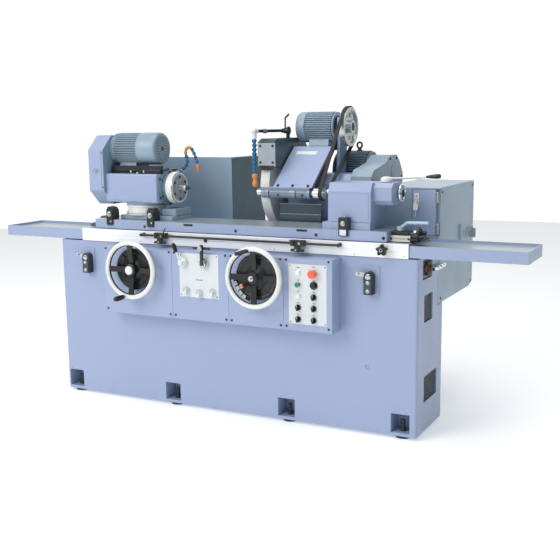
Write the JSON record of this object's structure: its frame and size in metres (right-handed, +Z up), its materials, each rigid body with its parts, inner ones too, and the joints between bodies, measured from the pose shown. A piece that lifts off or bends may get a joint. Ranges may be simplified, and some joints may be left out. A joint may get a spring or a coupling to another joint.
{
  "type": "universal cylindrical grinder",
  "caption": "Universal cylindrical grinder with traversing swivel table, workhead, tailstock, wheelhead, swing-down internal spindle and control cabinet.",
  "frame": {"origin": "on the floor, at the middle of the machine's whole outline", "axes": "+X along the table towards the tailstock, +Y from the operator towards the wheelhead, +Z up"},
  "size_m": [2.853, 1.4, 1.5224],
  "materials": {
    "body_paint": "semi-gloss periwinkle enamel",
    "apron_metal": "off-white enamel",
    "plate_white": "off-white plate",
    "ground_iron": "ground ways",
    "dark_iron": "blackened",
    "ground_steel": "ground",
    "chrome": "polished",
    "pulley_aluminium": "turned",
    "abrasive": "white vitrified abrasive",
    "belt_rubber": "black rubber",
    "hose_blue": "blue jointed hose",
    "black_plastic": "black phenolic",
    "red_plastic": "orange-red",
    "green_plastic": "green"
  },
  "bodies": {
    "bed": {"bed_casting": "body_paint", "rear_bed_casting": "body_paint", "levelling_feet": "dark_iron", "rear_guards": "body_paint", "electrical_cabinet": "body_paint", "control_panel_box": "body_paint", "front_fittings": "plate_white"},
    "table": {"lower_table": "body_paint", "table_wings": "body_paint", "table_apron": "apron_metal"},
    "swivel_table": {"swivel_table": "ground_iron", "swivel_end_fittings": "dark_iron", "workhead_base": "dark_iron"},
    "swivel_lock_lever": {"swivel_lock_lever": "body_paint"},
    "workhead": {"workhead_body": "body_paint", "workhead_belt_guard": "body_paint", "workhead_motor": "body_paint", "work_coolant_hose": "hose_blue"},
    "work_spindle": {"work_spindle": "ground_steel"},
    "workhead_motor_pulley": {"workhead_motor_pulley": "dark_iron"},
    "tailstock": {"tailstock_body": "body_paint"},
    "tailstock_quill": {"tailstock_quill": "ground_steel"},
    "tailstock_lever": {"tailstock_lever": "chrome"},
    "tailstock_knob": {"tailstock_knob": "chrome"},
    "trip_dog_left": {"trip_dog_left": "dark_iron"},
    "trip_dog_right": {"trip_dog_right": "dark_iron"},
    "star_knob": {"star_knob": "black_plastic"},
    "wheelhead": {"wheelhead_slide": "ground_iron", "wheelhead_housing": "body_paint", "wheel_guard": "body_paint", "main_motor": "body_paint", "belt_cover": "body_paint", "coolant_line": "hose_blue"},
    "grinding_wheel": {"grinding_wheel": "abrasive", "wheel_spindle": "ground_steel"},
    "main_motor_pulley": {"main_motor_pulley": "dark_iron"},
    "coolant_valve_lever": {"coolant_valve_lever": "dark_iron"},
    "internal_arm": {"internal_arm": "body_paint", "internal_motor": "body_paint", "internal_belt": "belt_rubber"},
    "internal_pulley": {"internal_pulley": "pulley_aluminium"},
    "internal_spindle": {"internal_spindle": "ground_steel"},
    "table_handwheel": {"table_handwheel": "ground_steel"},
    "infeed_handwheel": {"infeed_handwheel": "ground_steel"},
    "emergency_stop": {"emergency_stop": "red_plastic"},
    "green_button": {"green_button": "green_plastic"},
    "black_button": {"black_button": "black_plastic"},
    "table_start_lever": {"table_start_lever": "black_plastic"},
    "reversing_lever": {"reversing_lever": "dark_iron"},
    "cabinet_door": {"cabinet_door": "body_paint"},
    "cabinet_key": {"cabinet_key": "chrome"},
    "isolator_knob": {"isolator_knob": "black_plastic"},
    "selector_1": {"selector_1": "black_plastic"},
    "selector_2": {"selector_2": "black_plastic"},
    "selector_3": {"selector_3": "black_plastic"},
    "selector_4": {"selector_4": "black_plastic"},
    "selector_5": {"selector_5": "black_plastic"},
    "throttle_knob_1": {"throttle_knob_1": "black_plastic"},
    "throttle_knob_2": {"throttle_knob_2": "black_plastic"},
    "throttle_knob_3": {"throttle_knob_3": "black_plastic"}
  },
  "joints": [
    {"name": "table_traverse", "type": "slide", "parent": "bed", "child": "table", "axis": [-1, 0, 0], "range_m": [-0.4, 0.4]},
    {"name": "table_handwheel_turn", "type": "hinge", "parent": "bed", "child": "table_handwheel", "pos_m": [-0.4975, -0.45, 0.725], "axis": [0, 1, 0], "range_deg": [-2600, 2600]},
    {"name": "swivel_table_turn", "type": "hinge", "parent": "table", "child": "swivel_table", "pos_m": [-0.0145, -0.3, 0.93], "axis": [0, 0, -1], "range_deg": [-2, 8]},
    {"name": "swivel_lock_turn", "type": "hinge", "parent": "swivel_table", "child": "swivel_lock_lever", "pos_m": [0.8285, -0.35, 0.96], "axis": [0, 0, 1], "range_deg": [-40, 40]},
    {"name": "workhead_turn", "type": "hinge", "parent": "swivel_table", "child": "workhead", "pos_m": [-0.5915, -0.3, 1.03], "axis": [0, 0, 1], "range_deg": [-90, 30]},
    {"name": "work_spindle_spin", "type": "hinge", "parent": "workhead", "child": "work_spindle", "pos_m": [-0.4515, -0.3, 1.117], "axis": [1, 0, 0], "continuous": true},
    {"name": "work_motor_spin", "type": "hinge", "parent": "workhead", "child": "workhead_motor_pulley", "pos_m": [-0.8045, -0.29, 1.316], "axis": [1, 0, 0], "continuous": true},
    {"name": "tailstock_travel", "type": "slide", "parent": "swivel_table", "child": "tailstock", "axis": [1, 0, 0], "range_m": [-0.3, 0.038]},
    {"name": "quill_travel", "type": "slide", "parent": "tailstock", "child": "tailstock_quill", "axis": [1, 0, 0], "range_m": [0, 0.03]},
    {"name": "tailstock_lever_turn", "type": "hinge", "parent": "tailstock", "child": "tailstock_lever", "pos_m": [0.7405, -0.3, 1.18], "axis": [0, 0, -1], "range_deg": [0, 60]},
    {"name": "tailstock_knob_turn", "type": "hinge", "parent": "tailstock", "child": "tailstock_knob", "pos_m": [0.8165, -0.3, 1.117], "axis": [1, 0, 0], "range_deg": [-360, 360]},
    {"name": "trip_dog_left_travel", "type": "slide", "parent": "table", "child": "trip_dog_left", "axis": [1, 0, 0], "range_m": [-0.07, 0.25]},
    {"name": "trip_dog_right_travel", "type": "slide", "parent": "table", "child": "trip_dog_right", "axis": [1, 0, 0], "range_m": [-0.35, 0.15]},
    {"name": "star_knob_turn", "type": "hinge", "parent": "table", "child": "star_knob", "pos_m": [0.7885, -0.488, 0.878], "axis": [0, 1, 0], "range_deg": [-180, 180]},
    {"name": "wheelhead_infeed", "type": "slide", "parent": "bed", "child": "wheelhead", "axis": [0, -1, 0], "range_m": [-0.09, 0.105]},
    {"name": "infeed_handwheel_turn", "type": "hinge", "parent": "bed", "child": "infeed_handwheel", "pos_m": [0.1995, -0.45, 0.731], "axis": [0, 1, 0], "range_deg": [-760, 760]},
    {"name": "wheel_spin", "type": "hinge", "parent": "wheelhead", "child": "grinding_wheel", "pos_m": [0.0315, 0.078, 1.117], "axis": [1, 0, 0], "continuous": true},
    {"name": "main_motor_spin", "type": "hinge", "parent": "wheelhead", "child": "main_motor_pulley", "pos_m": [0.4985, 0.3, 1.185], "axis": [1, 0, 0], "continuous": true},
    {"name": "coolant_valve_turn", "type": "hinge", "parent": "wheelhead", "child": "coolant_valve_lever", "pos_m": [0.0665, 0.02, 1.412], "axis": [0, 0, 1], "range_deg": [0, 90]},
    {"name": "internal_arm_swing", "type": "hinge", "parent": "wheelhead", "child": "internal_arm", "pos_m": [0.3285, 0.15, 1.416], "axis": [-1, 0, 0], "range_deg": [0, 75]},
    {"name": "internal_pulley_spin", "type": "hinge", "parent": "internal_arm", "child": "internal_pulley", "pos_m": [0.3675, 0.15, 1.416], "axis": [1, 0, 0], "continuous": true},
    {"name": "internal_spindle_spin", "type": "hinge", "parent": "internal_arm", "child": "internal_spindle", "pos_m": [0.3685, -0.188, 1.096], "axis": [1, 0, 0], "continuous": true},
    {"name": "emergency_stop_press", "type": "slide", "parent": "bed", "child": "emergency_stop", "axis": [0, 1, 0], "range_m": [0, 0.006], "stiffness_N_per_m": 400},
    {"name": "green_button_press", "type": "slide", "parent": "bed", "child": "green_button", "axis": [0, 1, 0], "range_m": [0, 0.004], "stiffness_N_per_m": 400},
    {"name": "black_button_press", "type": "slide", "parent": "bed", "child": "black_button", "axis": [0, 1, 0], "range_m": [0, 0.004], "stiffness_N_per_m": 400},
    {"name": "selector_1_turn", "type": "hinge", "parent": "bed", "child": "selector_1", "pos_m": [0.4065, -0.55, 0.6], "axis": [0, 1, 0], "range_deg": [-45, 45]},
    {"name": "selector_2_turn", "type": "hinge", "parent": "bed", "child": "selector_2", "pos_m": [0.4065, -0.55, 0.545], "axis": [0, 1, 0], "range_deg": [-45, 45]},
    {"name": "selector_3_turn", "type": "hinge", "parent": "bed", "child": "selector_3", "pos_m": [0.4855, -0.55, 0.653], "axis": [0, 1, 0], "range_deg": [-45, 45]},
    {"name": "selector_4_turn", "type": "hinge", "parent": "bed", "child": "selector_4", "pos_m": [0.4855, -0.55, 0.6], "axis": [0, 1, 0], "range_deg": [-45, 45]},
    {"name": "selector_5_turn", "type": "hinge", "parent": "bed", "child": "selector_5", "pos_m": [0.4855, -0.55, 0.545], "axis": [0, 1, 0], "range_deg": [-45, 45]},
    {"name": "throttle_1_turn", "type": "hinge", "parent": "bed", "child": "throttle_knob_1", "pos_m": [-0.2005, -0.55, 0.631], "axis": [0, 1, 0], "range_deg": [0, 270]},
    {"name": "throttle_2_turn", "type": "hinge", "parent": "bed", "child": "throttle_knob_2", "pos_m": [-0.1265, -0.55, 0.622], "axis": [0, 1, 0], "range_deg": [0, 270]},
    {"name": "throttle_3_turn", "type": "hinge", "parent": "bed", "child": "throttle_knob_3", "pos_m": [-0.0525, -0.55, 0.632], "axis": [0, 1, 0], "range_deg": [0, 270]},
    {"name": "table_start_turn", "type": "hinge", "parent": "bed", "child": "table_start_lever", "pos_m": [-0.2135, -0.55, 0.774], "axis": [0, 1, 0], "range_deg": [-20, 35]},
    {"name": "reversing_turn", "type": "hinge", "parent": "bed", "child": "reversing_lever", "pos_m": [-0.0935, -0.55, 0.776], "axis": [0, 1, 0], "range_deg": [-15, 15]},
    {"name": "cabinet_door_turn", "type": "hinge", "parent": "bed", "child": "cabinet_door", "pos_m": [0.9415, -0.151, 1], "axis": [0, 0, 1], "range_deg": [0, 100]},
    {"name": "cabinet_key_turn", "type": "hinge", "parent": "cabinet_door", "child": "cabinet_key", "pos_m": [0.8395, -0.16, 1.075], "axis": [0, 1, 0], "range_deg": [0, 90]},
    {"name": "isolator_turn", "type": "hinge", "parent": "bed", "child": "isolator_knob", "pos_m": [0.9545, 0.376, 0.869], "axis": [1, 0, 0], "range_deg": [0, 90]}
  ],
  "couplings": [
    {"joint": "table_handwheel_turn", "follows": "table_traverse", "rad_per_m": 110},
    {"joint": "infeed_handwheel_turn", "follows": "wheelhead_infeed", "rad_per_m": 125.6},
    {"joint": "tailstock_lever_turn", "follows": "quill_travel", "rad_per_m": 34.9},
    {"joint": "work_motor_spin", "follows": "work_spindle_spin", "ratio": 1.6667},
    {"joint": "main_motor_spin", "follows": "wheel_spin", "ratio": 1.2333},
    {"joint": "internal_spindle_spin", "follows": "internal_pulley_spin", "ratio": 3.5714}
  ]
}
